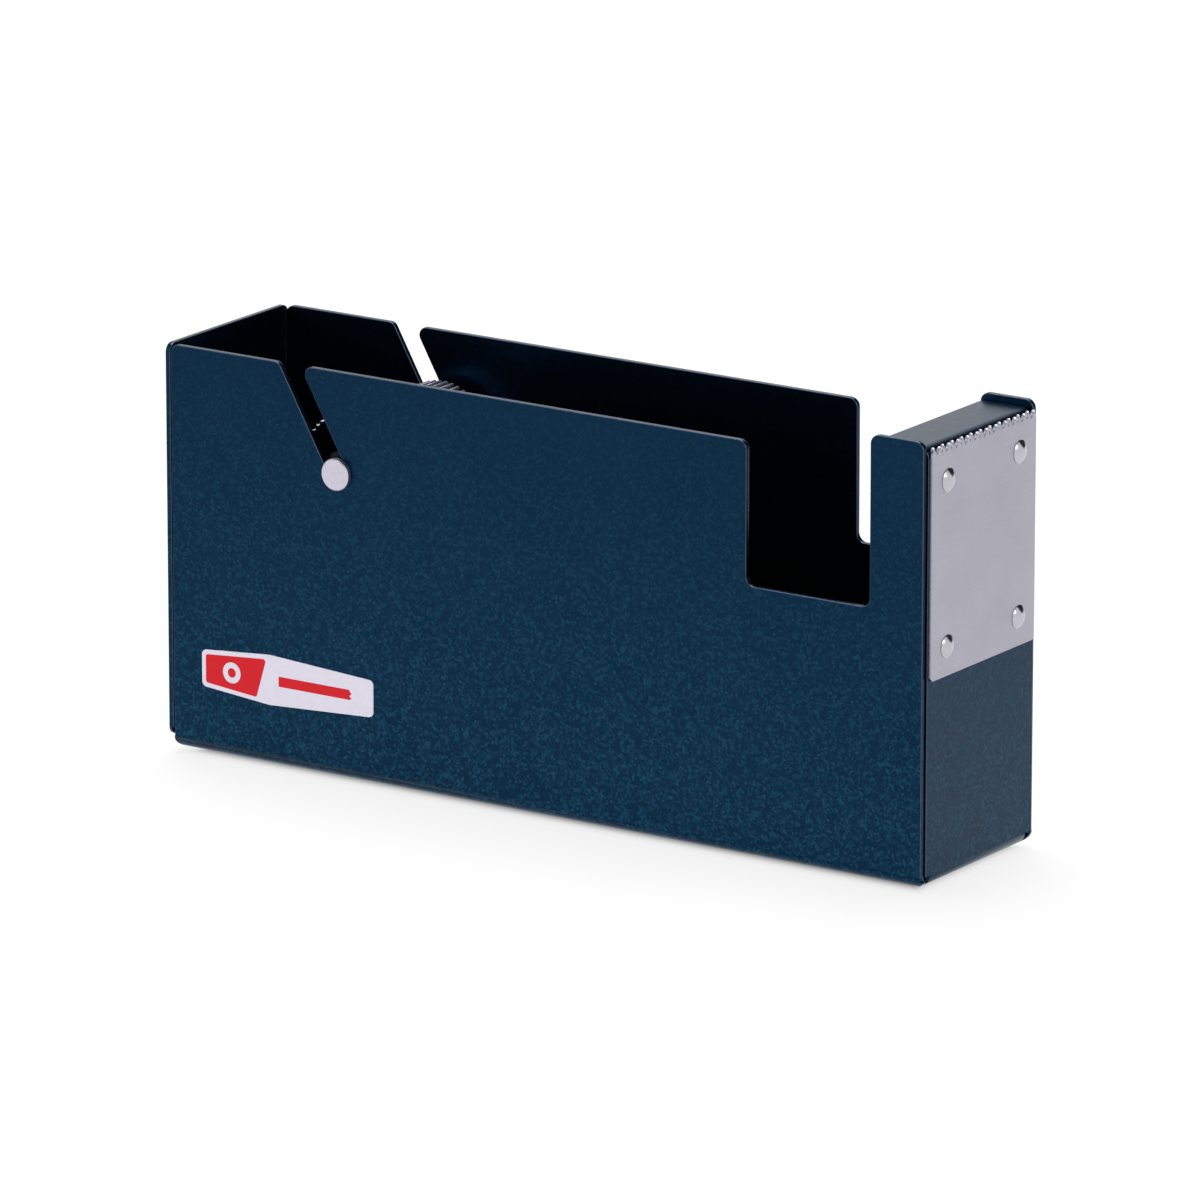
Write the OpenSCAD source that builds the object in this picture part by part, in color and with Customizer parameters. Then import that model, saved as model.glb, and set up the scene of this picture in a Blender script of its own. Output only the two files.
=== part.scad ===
// Desktop tape dispenser: an open box folded from one steel blank, with a toothed
// cutter plate riveted to its front and a reel that lifts out along two slanted slots.
// Millimetres. +X points towards the cutter, +Z is up, and -Y is the labelled side.
// The origin is on the table, under the middle of the dispenser.

/* [Box] */
// Length of the box, from its back end to the face of its front panel
box_len = 190; // [170:1:240]
// Width of the box over its two side walls
box_w = 43; // [36:0.5:60]
// Height of the side walls above the underside of the box
wall_h = 88.5; // [82:0.5:115]
// Thickness of the steel sheet
sheet_t = 1.2; // [0.8:0.1:1.6]
// Inside radius of every bend
bend_in = 1.2; // [0.8:0.1:2]
// Radius of the free corners of the sheet
corner_r = 2; // [1:0.1:2.6]

/* [Open corners] */
// Gap between the back end and the edges of the side walls
back_gap = 0.2; // [0.1:0.1:1]
// How far the front panel stands out past the edges of the side walls
front_proud = 0.3; // [0.2:0.1:1]
// Gap between the front panel and each side wall
front_gap = 0.3; // [0.2:0.1:1.2]
// Gap that keeps each end bend clear of the side bends
relief_gap = 0.8; // [0.5:0.1:1.5]

/* [Notch and ears] */
// Length of the notch in each side wall
notch_len = 30; // [20:1:40]
// Depth of the notch below the top of the side walls
notch_deep = 30.7; // [15:0.1:40]
// Length of the post that is left in front of the notch
post_len = 12.8; // [9:0.1:18]
// How far the ear on each post rises above the side walls
ear_rise = 5.8; // [3:0.1:10]

/* [Tape rest] */
// How far the tape rest lies below the tops of the ears
rest_drop = 1.5; // [0.5:0.1:2.5]
// Length of the tape rest, back from the face of the front panel
rest_len = 12.4; // [8:0.1:16]

/* [Slots] */
// Distance of the axle from the outer face of the back end
axle_x = 44.6; // [34:0.1:60]
// Height of the axle above the underside of the box
axle_z = 66.5; // [55:0.1:72]
// Lean of the slots from upright, towards the back end
slot_lean = 29.5; // [0:0.5:32]
// Clearance between the axle and each side of a slot
slot_clear = 0.15; // [0.1:0.05:0.4]
// Radius of the rounded mouth of each slot
mouth_r = 1.8; // [0.5:0.1:2.4]

/* [Spindle] */
// Diameter of the axle
axle_d = 4.5; // [3.5:0.1:6]
// Diameter of the heads at the axle's two ends
head_d = 6.9; // [6.6:0.1:9]
// Thickness of each head
head_t = 1.2; // [1:0.1:2]
// Gap between each head and the side wall
head_clear = 0.15; // [0.1:0.05:0.3]
// Diameter of the spigot that the far head is pressed on
spigot_d = 3; // [2:0.1:3.2]
// Depth of the spigot in the far head
spigot_deep = 0.8; // [0.5:0.1:0.9]

/* [Reel] */
// Diameter over the teeth of the rims, which grip a 25.4 mm tape core
rim_d = 24.2; // [22:0.1:25.2]
// Height of the teeth
rim_tooth = 0.55; // [0.3:0.05:0.8]
// Number of teeth on each rim
rim_teeth = 48; // [24:2:60]
// Width of each rim
rim_w = 5; // [3:0.1:7]
// Thickness of the ring that carries the teeth
rim_ring = 1.4; // [1:0.1:2.5]
// Thickness of the web between ring and hub
rim_web = 1.6; // [1:0.1:2.5]
// Diameter of the hub of each rim
hub_d = 12.5; // [11.4:0.1:15]
// Distance of each rim from the inside of its side wall
rim_inset = 3.3; // [1:0.1:8]
// Outside diameter of the sleeve that joins the rims
sleeve_d = 9; // [8:0.1:10.5]
// Radial clearance of the sleeve on the axle
sleeve_run = 0.1; // [0.05:0.01:0.1]
// Gap between each end of the sleeve and the side wall
sleeve_gap = 0.4; // [0.3:0.1:1]

/* [Cutter] */
// How far the plate stands back from each side of the box
cutter_inset = 1.7; // [1.4:0.1:3]
// Height of the plate from its lower edge to the tips of its teeth
cutter_h = 49; // [42:0.1:60]
// Thickness of the plate
cutter_t = 0.8; // [0.5:0.1:1.2]
// How far the tips of the teeth rise above the tape rest
tooth_rise = 0; // [-0.4:0.1:1.4]
// Depth of the teeth
tooth_deep = 1.9; // [1:0.1:2.5]
// Number of teeth on the cutter
tooth_count = 22; // [16:1:30]
// Radius of the plate's lower corners
cutter_corner = 0.8; // [0.3:0.1:2]

/* [Rivets] */
// Distance between the rivets across the plate
rivet_span_y = 27.3; // [20:0.1:30]
// Distance between the rivets up the plate
rivet_span_z = 35; // [28:0.1:36]
// Distance of the upper rivets below the tips of the teeth
rivet_drop = 7.8; // [6.5:0.1:10]
// Diameter of the domed heads
rivet_head_d = 5; // [4:0.1:6]
// Height of the domed heads
rivet_head_h = 1; // [0.6:0.1:1.4]
// Diameter of the shanks
rivet_d = 2.5; // [2:0.1:3]
// Clearance between a shank and its hole, all round
rivet_clear = 0.05; // [0.02:0.01:0.1]
// Diameter of the upset tails inside the panel
rivet_tail_d = 4; // [3.4:0.1:5]
// Height of the upset tails
rivet_tail_h = 0.8; // [0.5:0.1:1.2]

/* [Label] */
// Length of the label
label_len = 44.4; // [20:0.1:60]
// Height of the label at its two ends
label_end_h = 8; // [5:0.1:12]
// Height of the label where it is tallest
label_mid_h = 11; // [8:0.1:16]
// Distance from the label's back end to its tallest place
label_peak = 17.6; // [8:0.1:18]
// Distance of the label from the back end of the box
label_x = 9; // [5:0.1:20]
// Height of the label's middle above the underside of the box
label_z = 18.8; // [12:0.1:30]
// Thickness of the label
label_t = 0.25; // [0.15:0.05:0.5]
// Radius of the label's corners
label_r = 1.2; // [0.5:0.1:2]

/* [Feet] */
// Diameter of the feet
foot_d = 9; // [6:0.5:11]
// Height of the feet
foot_h = 1.2; // [1:0.1:3]
// Distance of each foot's middle from the side walls and from the ends
foot_in = 10.5; // [7.5:0.1:12]
// Rounding of the feet's lower edge
foot_round = 0.5; // [0.2:0.1:0.8]

/* [Hidden] */
$fn = 96;

paint = "#14304a";
stainless = "#b4b2b8";
zinc = "#cfcad4";
tin = "#b9b7c6";
rubber_black = "#1c1c1e";
label_white = "#f2f0f0";

// What a cut runs past the sheet that it cuts
over = 1;
// What a rounding's circle stands past the edges it would only touch, so that it crosses them
hair = 0.001;
// Outside radius of the bends
bend_out = bend_in + sheet_t;
// The side walls run from side_back to side_front
side_back = sheet_t + back_gap;
side_front = box_len - front_proud;
ear_h = wall_h + ear_rise;
rest_z = ear_h - rest_drop;
notch_z = wall_h - notch_deep;
post_x = side_front - post_len;
notch_x = post_x - notch_len;
// Width of the front panel and the tape rest, between the side walls
panel_w = box_w - 2 * (sheet_t + front_gap);
// Length of the end bends, clear of the side bends
end_bend_w = box_w - 2 * (bend_out + relief_gap);

slot_w = axle_d + 2 * slot_clear;
// Half of the slot's width, measured level along the top of the wall
slot_half_level = slot_w / 2 / cos(slot_lean);
slot_top_x = axle_x - (wall_h - axle_z) * tan(slot_lean);

// Distance from the middle of the box to the inner face of a head
head_y = box_w / 2 + head_clear;
sleeve_len = box_w - 2 * (sheet_t + sleeve_gap);
// Distance from the middle of the box to the outer face of a rim
rim_y = box_w / 2 - sheet_t - rim_inset;

cutter_w = box_w - 2 * cutter_inset;
tip_z = rest_z + tooth_rise;
cutter_z = tip_z - cutter_h;
rivet_z = tip_z - rivet_drop;
// The four rivets, as places on the front panel
rivet_places = [for (y = [-1, 1], z = [0, 1]) [y * rivet_span_y / 2, rivet_z - z * rivet_span_z]];
rivet_hole_r = rivet_d / 2 + rivet_clear;
// Radius of the sphere that the domed heads are cut from
dome_r = (pow(rivet_head_d / 2, 2) + pow(rivet_head_h, 2)) / (2 * rivet_head_h);

// The whole length, from the back end to the front of the rivet heads
full_len = box_len + cutter_t + rivet_head_h;

// Moves a piece from the box's own corner to the origin on the table
module placed() {
    translate([-full_len / 2, 0, foot_h]) children();
}

// Stands an outline drawn in X and Z up, with a thickness across Y
module across(thickness) {
    rotate([90, 0, 0]) linear_extrude(thickness, center = true) children();
}

// Stands an outline drawn in Y and Z up, with a thickness towards +X
module along(thickness) {
    rotate([90, 0, 90]) linear_extrude(thickness) children();
}

// What a rounding takes off a corner p, whose edges leave at the angles from and to
module round_off(p, from, to, r) {
    half = (to - from) / 2;
    mid = (to + from) / 2;
    inward = [cos(mid), sin(mid)];
    reach = r / tan(half);
    difference() {
        polygon([p - 0.05 * inward,
                 p + reach * [cos(from), sin(from)],
                 p + reach * [cos(to), sin(to)]]);
        translate(p + r / sin(half) * inward) circle(r + hair);
    }
}

// An upright slot outline of width w and height h, with lower corners of radius r
module u_shape(w, h, r) {
    translate([0, r]) square([w, h - r]);
    translate([r, 0]) square([w - 2 * r, h]);
    for (x = [r, w - r]) translate([x, r]) circle(r);
}

// A quarter of a bend: the sheet turns from downwards at x = 0 to level at y = 0
module bend_outline() {
    difference() {
        intersection() {
            translate([bend_out, bend_out]) circle(bend_out);
            square(bend_out);
        }
        translate([bend_out, bend_out]) circle(bend_in);
    }
}

// The slanted slot that guides the axle, open at the top of the wall
module slot_outline() {
    translate([axle_x, axle_z]) {
        circle(slot_w / 2 + hair);
        rotate(slot_lean) translate([-slot_w / 2, 0])
            square([slot_w, (wall_h - axle_z) / cos(slot_lean) + slot_w]);
    }
}

// Outline of a side wall, seen from the labelled side
module side_outline() {
    difference() {
        union() {
            translate([side_back, 0]) square([side_front - side_back, wall_h]);
            translate([post_x, 0]) square([post_len, ear_h]);
        }
        translate([notch_x, notch_z]) u_shape(notch_len, notch_deep + ear_rise + over, corner_r);
        slot_outline();
        round_off([side_back, wall_h], 270, 360, corner_r);
        round_off([notch_x, wall_h], 180, 270, corner_r);
        round_off([post_x, ear_h], 270, 360, corner_r);
        round_off([side_front, ear_h], 180, 270, corner_r);
        round_off([side_back, 0], 0, 90, corner_r);
        round_off([side_front, 0], 90, 180, corner_r);
        round_off([slot_top_x - slot_half_level, wall_h], 180, 270 + slot_lean, mouth_r);
        round_off([slot_top_x + slot_half_level, wall_h], 270 + slot_lean, 360, mouth_r);
    }
}

// Cross-section of the floor, the two side bends and the two side walls
module channel_outline() {
    difference() {
        translate([-box_w / 2, 0]) u_shape(box_w, ear_h, bend_out);
        translate([sheet_t - box_w / 2, sheet_t]) u_shape(box_w - 2 * sheet_t, ear_h, bend_in);
    }
}

// The floor and the two side walls
module channel() {
    difference() {
        intersection() {
            translate([side_back, 0, 0]) along(side_front - side_back) channel_outline();
            across(box_w + over) side_outline();
        }
        for (x = [bend_out - box_len, box_len - bend_out])
            translate([x, bend_out - box_w / 2, -over])
                cube([box_len, box_w - 2 * bend_out, bend_out + over]);
    }
}

// The back end, which covers the edges of the side walls
module back_end() {
    across(end_bend_w) {
        bend_outline();
        translate([bend_out, 0]) square([bend_out, sheet_t]);
    }
    along(sheet_t) difference() {
        translate([-box_w / 2, bend_out]) square([box_w, wall_h - bend_out]);
        for (side = [0, 1]) mirror([side, 0]) {
            round_off([-box_w / 2, wall_h], 270, 360, corner_r);
            round_off([-box_w / 2, bend_out], 0, 90, corner_r);
        }
    }
}

// The front panel, which turns back at its top to make the tape rest
module front_end() {
    translate([box_len, 0, 0]) mirror([1, 0, 0]) {
        across(end_bend_w) {
            bend_outline();
            translate([bend_out, 0]) square([bend_out, sheet_t]);
        }
        across(panel_w) {
            translate([0, bend_out]) square([sheet_t, rest_z - 2 * bend_out]);
            translate([0, rest_z]) mirror([0, 1]) bend_outline();
            translate([bend_out, rest_z - sheet_t]) square([rest_len - bend_out, sheet_t]);
        }
    }
}

module body_shell() {
    color(paint) placed() difference() {
        union() {
            channel();
            back_end();
            front_end();
        }
        translate([box_len - sheet_t - over, 0, 0]) along(sheet_t + 2 * over)
            for (p = rivet_places) translate(p) circle(rivet_hole_r);
    }
}

module cutter_plate() {
    pitch = cutter_w / tooth_count;
    root_z = tip_z - tooth_deep;
    teeth = [for (i = [0 : tooth_count - 1], top = [0, 1])
        [cutter_w / 2 - (i + top / 2) * pitch, top == 0 ? root_z : tip_z]];
    color(stainless) placed() translate([box_len, 0, 0]) along(cutter_t) difference() {
        polygon(concat([[-cutter_w / 2, cutter_z], [cutter_w / 2, cutter_z]], teeth,
                       [[-cutter_w / 2, root_z]]));
        for (p = rivet_places) translate(p) circle(rivet_hole_r);
        for (side = [0, 1]) mirror([side, 0])
            round_off([-cutter_w / 2, cutter_z], 0, 90, cutter_corner);
    }
}

// One rivet along +X: tail, shank through the panel and the plate, domed head
module rivet() {
    rotate([0, 90, 0]) rotate_extrude() {
        translate([0, -sheet_t - rivet_tail_h]) square([rivet_tail_d / 2, rivet_tail_h]);
        translate([0, -sheet_t - rivet_tail_h / 2])
            square([rivet_d / 2, sheet_t + cutter_t + rivet_tail_h / 2 + rivet_head_h / 2]);
        translate([0, cutter_t]) intersection() {
            translate([0, rivet_head_h - dome_r]) circle(dome_r);
            square([rivet_head_d / 2, rivet_head_h]);
        }
    }
}

module cutter_rivets() {
    color(stainless) placed()
        for (p = rivet_places) translate([box_len, p.x, p.y]) rivet();
}

// Turns a shape drawn with its axis along +Z onto the axle's line, towards +Y
module on_axle() {
    placed() translate([axle_x, 0, axle_z]) rotate([-90, 0, 0]) children();
}

// A head of the axle, with a small chamfer round its face
module head() {
    chamfer = 0.2;
    rotate_extrude() polygon([[0, 0], [head_d / 2, 0], [head_d / 2, head_t - chamfer],
                              [head_d / 2 - chamfer, head_t], [0, head_t]]);
}

module axle_pin() {
    color(zinc) on_axle() {
        translate([0, 0, -head_y]) {
            mirror([0, 0, 1]) head();
            cylinder(h = 2 * head_y, d = axle_d);
            cylinder(h = 2 * head_y + spigot_deep, d = spigot_d);
        }
    }
}

module axle_cap() {
    color(zinc) on_axle() translate([0, 0, head_y]) difference() {
        head();
        translate([0, 0, -over]) cylinder(h = spigot_deep + over, d = spigot_d);
    }
}

module reel_sleeve() {
    color(zinc) on_axle() difference() {
        cylinder(h = sleeve_len, d = sleeve_d, center = true);
        cylinder(h = sleeve_len + over, d = axle_d + 2 * sleeve_run, center = true);
    }
}

// A toothed rim whose web faces +Z and whose open side faces the middle of the reel
module rim() {
    tip_r = rim_d / 2;
    root_r = tip_r - rim_tooth;
    step = 360 / rim_teeth;
    // Each tooth has a root flat, two flanks and a narrow crest
    turns = [0, 0.3, 0.5, 0.8];
    radii = [root_r, root_r, tip_r, tip_r];
    outline = [for (i = [0 : rim_teeth - 1], k = [0 : 3])
        radii[k] * [cos((i + turns[k]) * step), sin((i + turns[k]) * step)]];
    difference() {
        translate([0, 0, -rim_w]) linear_extrude(rim_w) polygon(outline);
        translate([0, 0, -rim_w - over]) difference() {
            cylinder(h = rim_w - rim_web + over, r = root_r - rim_ring);
            translate([0, 0, -over]) cylinder(h = rim_w + 3 * over, d = hub_d);
        }
        translate([0, 0, -rim_w - over]) cylinder(h = rim_w + 2 * over, d = sleeve_d);
    }
}

module near_rim() {
    color(tin) on_axle() mirror([0, 0, 1]) translate([0, 0, rim_y]) rim();
}

module far_rim() {
    color(tin) on_axle() translate([0, 0, rim_y]) rim();
}

module side_label() {
    low = (label_mid_h - label_end_h) / 2;
    // The label's outline, and its corners with the angles at which their edges leave
    corners = [[0, low], [label_peak, 0], [label_len, low],
               [label_len, low + label_end_h], [label_peak, label_mid_h], [0, low + label_end_h]];
    fall_back = atan(low / label_peak);
    fall_front = atan(low / (label_len - label_peak));
    color(label_white) placed()
        translate([label_x, -(box_w + label_t) / 2, label_z - label_mid_h / 2])
            across(label_t) difference() {
                polygon(corners);
                round_off(corners[0], -fall_back, 90, label_r);
                round_off(corners[2], 90, 180 + fall_front, label_r);
                round_off(corners[3], 180 - fall_front, 270, label_r);
                round_off(corners[5], 270, 360 + fall_back, label_r);
            }
}

// A foot stuck under the floor; end is 0 at the back and 1 at the front, side is -1 or 1
module foot(end, side) {
    foot_x = end == 0 ? foot_in : box_len - foot_in;
    color(rubber_black) placed()
        translate([foot_x, side * (box_w / 2 - foot_in), -foot_h]) rotate_extrude() {
            translate([0, foot_round]) square([foot_d / 2, foot_h - foot_round]);
            square([foot_d / 2 - foot_round, foot_h]);
            intersection() {
                translate([foot_d / 2 - foot_round, foot_round]) circle(foot_round);
                square([foot_d, foot_h]);
            }
        }
}

body_shell();
cutter_plate();
cutter_rivets();
axle_pin();
axle_cap();
reel_sleeve();
near_rim();
far_rim();
side_label();
foot(1, -1);  // foot_front_near
foot(1, 1);  // foot_front_far
foot(0, -1);  // foot_back_near
foot(0, 1);  // foot_back_far
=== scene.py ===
"""Looks for a desktop tape dispenser folded from one painted steel sheet.

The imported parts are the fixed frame. Sizes in the settings are in metres, in the frame's own
axes: X towards the cutter, Y away from the labelled side, Z up from the table.
"""

import math

import bmesh
import bpy
from mathutils import Matrix, Vector


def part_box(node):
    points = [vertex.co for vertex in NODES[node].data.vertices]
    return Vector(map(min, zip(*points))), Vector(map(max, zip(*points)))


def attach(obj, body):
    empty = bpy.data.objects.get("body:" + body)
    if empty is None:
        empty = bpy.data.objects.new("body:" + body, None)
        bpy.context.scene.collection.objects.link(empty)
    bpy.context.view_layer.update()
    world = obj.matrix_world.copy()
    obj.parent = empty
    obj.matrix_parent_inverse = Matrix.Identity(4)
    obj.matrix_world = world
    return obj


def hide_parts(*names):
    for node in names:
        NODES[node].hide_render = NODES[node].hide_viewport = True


bl_info = {
    "name": "Desktop Tape Dispenser",
    "version": (1, 0, 0),
    "blender": (4, 5, 0),
    "location": "View3D > Sidebar > Dispenser",
    "description": "Finishes and detail for a steel tape dispenser, built on its packed parts",
    "category": "Add Mesh",
}

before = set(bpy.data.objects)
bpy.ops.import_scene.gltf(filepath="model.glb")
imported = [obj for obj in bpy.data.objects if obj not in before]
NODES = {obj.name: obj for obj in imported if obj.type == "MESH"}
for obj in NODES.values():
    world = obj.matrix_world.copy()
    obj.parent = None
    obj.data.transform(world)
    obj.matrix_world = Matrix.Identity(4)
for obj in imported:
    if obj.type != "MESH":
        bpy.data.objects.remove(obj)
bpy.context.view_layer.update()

MM = 0.001
# Edges that turn by more than this are drawn as edges, and shallower ones as one curved surface
CREASE = math.radians(35)
# Points nearer than this are one point
WELD = 0.001 * MM
# The two colours of a Mix node and the colour it gives, which share their names with other types
MIX_A, MIX_B, MIXED = 6, 7, 2


def linear(colour):
    """An sRGB hex colour, such as "#14304a", as linear red, green and blue."""
    parts = [int(colour[i : i + 2], 16) / 255 for i in (1, 3, 5)]
    return [p / 12.92 if p <= 0.04045 else ((p + 0.055) / 1.055) ** 2.4 for p in parts]


def opaque(colour):
    """A colour of three parts as the four that a colour socket takes."""
    return (*colour[:3], 1.0)


def add(tree, kind, inputs=None, **settings):
    """Adds a node. Inputs are values or the sockets that feed them; settings are its properties."""
    node = tree.nodes.new(kind)
    for name, value in settings.items():
        setattr(node, name, value)
    for key, value in (inputs or {}).items():
        if isinstance(value, bpy.types.NodeSocket):
            tree.links.new(value, node.inputs[key])
        else:
            node.inputs[key].default_value = value
    return node


def new_material(name):
    """A material with an empty tree, and the tree."""
    material = bpy.data.materials.new(name)
    material.use_nodes = True
    material.node_tree.nodes.clear()
    return material, material.node_tree


def finish_material(tree, shader_inputs):
    """Closes a material's tree with its one shader."""
    shader = add(tree, "ShaderNodeBsdfPrincipled", shader_inputs)
    add(tree, "ShaderNodeOutputMaterial", {"Surface": shader.outputs["BSDF"]})


def metallic_enamel(s):
    """Stoved metallic enamel: dark blue lacquer that carries fine metal flake.

    The flake gives it a tinted metallic sheen in place of a painted body colour, so it goes nearly
    black where nothing bright faces it, and more teal specks show towards the bottom.
    """
    material, tree = new_material("metallic_enamel")
    place = add(tree, "ShaderNodeTexCoord").outputs["Object"]
    # One Voronoi cell is one flake
    flake = add(tree, "ShaderNodeTexVoronoi", {"Vector": place, "Scale": 1 / s.flake_size})
    chance = add(tree, "ShaderNodeSeparateColor", {"Color": flake.outputs["Color"]})
    glint = add(tree, "ShaderNodeMath", {0: chance.outputs["Red"], 1: 2.6}, operation="POWER")
    height = add(tree, "ShaderNodeSeparateXYZ", {"Vector": place}).outputs["Z"]
    # The part of the flakes that shows, from the walls' top edges down to their feet
    low_down = add(
        tree,
        "ShaderNodeMapRange",
        {"Value": height, "From Min": 88 * MM, "From Max": 12 * MM, "To Min": 0.1, "To Max": 0.42},
    )
    share = add(
        tree,
        "ShaderNodeMath",
        {0: glint.outputs[0], 1: low_down.outputs["Result"]},
        operation="MULTIPLY",
    )
    drift = add(tree, "ShaderNodeTexNoise", {"Vector": place, "Scale": 1 / (26 * MM), "Detail": 3})
    body = add(
        tree,
        "ShaderNodeMix",
        {
            "Factor": drift.outputs["Fac"],
            MIX_A: opaque(s.paint_deep),
            MIX_B: opaque(s.paint),
        },
        data_type="RGBA",
    )
    colour = add(
        tree,
        "ShaderNodeMix",
        {"Factor": share.outputs[0], MIX_A: body.outputs[MIXED], MIX_B: opaque(s.flake)},
        data_type="RGBA",
    )
    # The coat's peel is about as wide as three flakes
    peel = add(
        tree,
        "ShaderNodeTexNoise",
        {"Vector": place, "Scale": 1 / (1.5 * MM), "Detail": 1.5, "Roughness": 0.5},
    )
    relief = add(
        tree,
        "ShaderNodeBump",
        {"Height": peel.outputs["Fac"], "Strength": 0.12, "Distance": 0.03 * MM},
    )
    rough = add(
        tree,
        "ShaderNodeMapRange",
        {"Value": peel.outputs["Fac"], "To Min": 0.26, "To Max": 0.34},
    )
    finish_material(
        tree,
        {
            "Base Color": colour.outputs[MIXED],
            "Metallic": 1.0,
            "Roughness": rough.outputs["Result"],
            "Normal": relief.outputs["Normal"],
        },
    )
    return material


def edge_highlight_enamel(s):
    """The same enamel on the rounded edges, in a greyer and paler tone: a painted highlight for the
    light that the edges catch.
    """
    material, tree = new_material("edge_painted_highlight")
    place = add(tree, "ShaderNodeTexCoord").outputs["Object"]
    # Random mottle in the painted edge highlight
    highlight_mottle = add(tree, "ShaderNodeTexNoise", {"Vector": place, "Scale": 1 / (2.5 * MM), "Detail": 3})
    colour = add(
        tree,
        "ShaderNodeMix",
        {
            "Factor": highlight_mottle.outputs["Fac"],
            MIX_A: opaque([c * 0.7 for c in s.edge_highlight_tone]),
            MIX_B: opaque([c * 1.3 for c in s.edge_highlight_tone]),
        },
        data_type="RGBA",
    )
    finish_material(
        tree, {"Base Color": colour.outputs[MIXED], "Metallic": 1.0, "Roughness": 0.3}
    )
    return material


def rolled_stainless(s):
    """Cold-rolled stainless sheet, 2B finish: even, milky and faintly streaked across."""
    material, tree = new_material("rolled_stainless")
    place = add(tree, "ShaderNodeTexCoord").outputs["Object"]
    # The rolling grain is far finer than this, which is as coarse as it needs to be to show
    grain_place = add(
        tree,
        "ShaderNodeMapping",
        {"Vector": place, "Scale": (1 / (0.5 * MM), 1 / (6 * MM), 1 / (0.18 * MM))},
    )
    grain = add(
        tree,
        "ShaderNodeTexNoise",
        {"Vector": grain_place.outputs["Vector"], "Scale": 1.0, "Detail": 3, "Roughness": 0.6},
    )
    stain = add(tree, "ShaderNodeTexNoise", {"Vector": place, "Scale": 1 / (11 * MM), "Detail": 4})
    tone = add(
        tree,
        "ShaderNodeMath",
        {0: grain.outputs["Fac"], 1: stain.outputs["Fac"]},
        operation="ADD",
    )
    colour = add(
        tree,
        "ShaderNodeMix",
        {
            "Factor": add(
                tree,
                "ShaderNodeMapRange",
                {"Value": tone.outputs[0], "From Min": 0.6, "From Max": 1.4},
            ).outputs["Result"],
            MIX_A: opaque([c * 0.92 for c in s.steel]),
            MIX_B: opaque([min(c * 1.08, 1) for c in s.steel]),
        },
        data_type="RGBA",
    )
    rough = add(
        tree,
        "ShaderNodeMapRange",
        {"Value": grain.outputs["Fac"], "To Min": 0.3, "To Max": 0.4},
    )
    relief = add(
        tree,
        "ShaderNodeBump",
        {"Height": grain.outputs["Fac"], "Strength": 0.06, "Distance": 0.01 * MM},
    )
    finish_material(
        tree,
        {
            "Base Color": colour.outputs[MIXED],
            "Metallic": 1.0,
            "Roughness": rough.outputs["Result"],
            "Normal": relief.outputs["Normal"],
        },
    )
    return material


def polished_steel(s):
    """Tumbled and polished steel, as rivet heads are: a near mirror with a few fine scuffs."""
    material, tree = new_material("polished_steel")
    place = add(tree, "ShaderNodeTexCoord").outputs["Object"]
    scuff = add(
        tree,
        "ShaderNodeTexNoise",
        {"Vector": place, "Scale": 1 / (0.4 * MM), "Detail": 4, "Roughness": 0.7},
    )
    rough = add(
        tree,
        "ShaderNodeMapRange",
        {"Value": scuff.outputs["Fac"], "To Min": 0.12, "To Max": 0.2},
    )
    finish_material(
        tree,
        {
            "Base Color": opaque(s.steel),
            "Metallic": 1.0,
            "Roughness": rough.outputs["Result"],
        },
    )
    return material


def turned_metal(name, colour, centre, rough, painted_shade=None, shade_radius=0.0):
    """Turned metal with fine rings about the axle's own line.

    Inside a given radius it takes a dark tone instead, painted shade that stands in for the shadow
    inside the box, so only a band at the rims' teeth shows the bright metal.
    """
    material, tree = new_material(name)
    place = add(tree, "ShaderNodeTexCoord").outputs["Object"]
    centred = add(
        tree, "ShaderNodeMapping", {"Vector": place, "Location": [-c for c in centre]}
    ).outputs["Vector"]
    # A feed of 0.1 mm a turn is too fine to show, so the rings are drawn four times as coarse.
    # At a scale of 1 the wave texture has 20 radians to the metre.
    feed = 0.4 * MM
    rings = add(
        tree,
        "ShaderNodeTexWave",
        {"Vector": centred, "Scale": math.tau / 20 / feed, "Distortion": 0.4},
        wave_type="RINGS",
        rings_direction="Y",
    )
    speck = add(
        tree, "ShaderNodeTexNoise", {"Vector": place, "Scale": 1 / (0.9 * MM), "Detail": 3}
    )
    tone = add(
        tree,
        "ShaderNodeMix",
        {
            "Factor": speck.outputs["Fac"],
            MIX_A: opaque([c * 0.88 for c in colour]),
            MIX_B: opaque([min(c * 1.1, 1) for c in colour]),
        },
        data_type="RGBA",
    )
    flat = add(
        tree,
        "ShaderNodeVectorMath",
        {0: centred, 1: (1, 0, 1)},
        operation="MULTIPLY",
    )
    from_axle = add(tree, "ShaderNodeVectorMath", {0: flat.outputs[0]}, operation="LENGTH")
    # Painted shade: inside the radius the metal takes the dark tone that stands in for the shadow
    # inside the box
    unshaded_band = add(
        tree,
        "ShaderNodeMapRange",
        {
            "Value": from_axle.outputs["Value"],
            "From Min": shade_radius,
            "From Max": shade_radius + 0.3 * MM,
        },
    )
    whole = add(
        tree,
        "ShaderNodeMix",
        {
            "Factor": unshaded_band.outputs["Result"],
            MIX_A: opaque(painted_shade or colour),
            MIX_B: tone.outputs[MIXED],
        },
        data_type="RGBA",
    )
    roughness = add(
        tree,
        "ShaderNodeMapRange",
        {"Value": speck.outputs["Fac"], "To Min": rough - 0.05, "To Max": rough + 0.07},
    )
    relief = add(
        tree,
        "ShaderNodeBump",
        {"Height": rings.outputs["Fac"], "Strength": 0.08, "Distance": 0.01 * MM},
    )
    finish_material(
        tree,
        {
            "Base Color": whole.outputs[MIXED],
            "Metallic": 1.0,
            "Roughness": roughness.outputs["Result"],
            "Normal": relief.outputs["Normal"],
        },
    )
    return material


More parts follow.
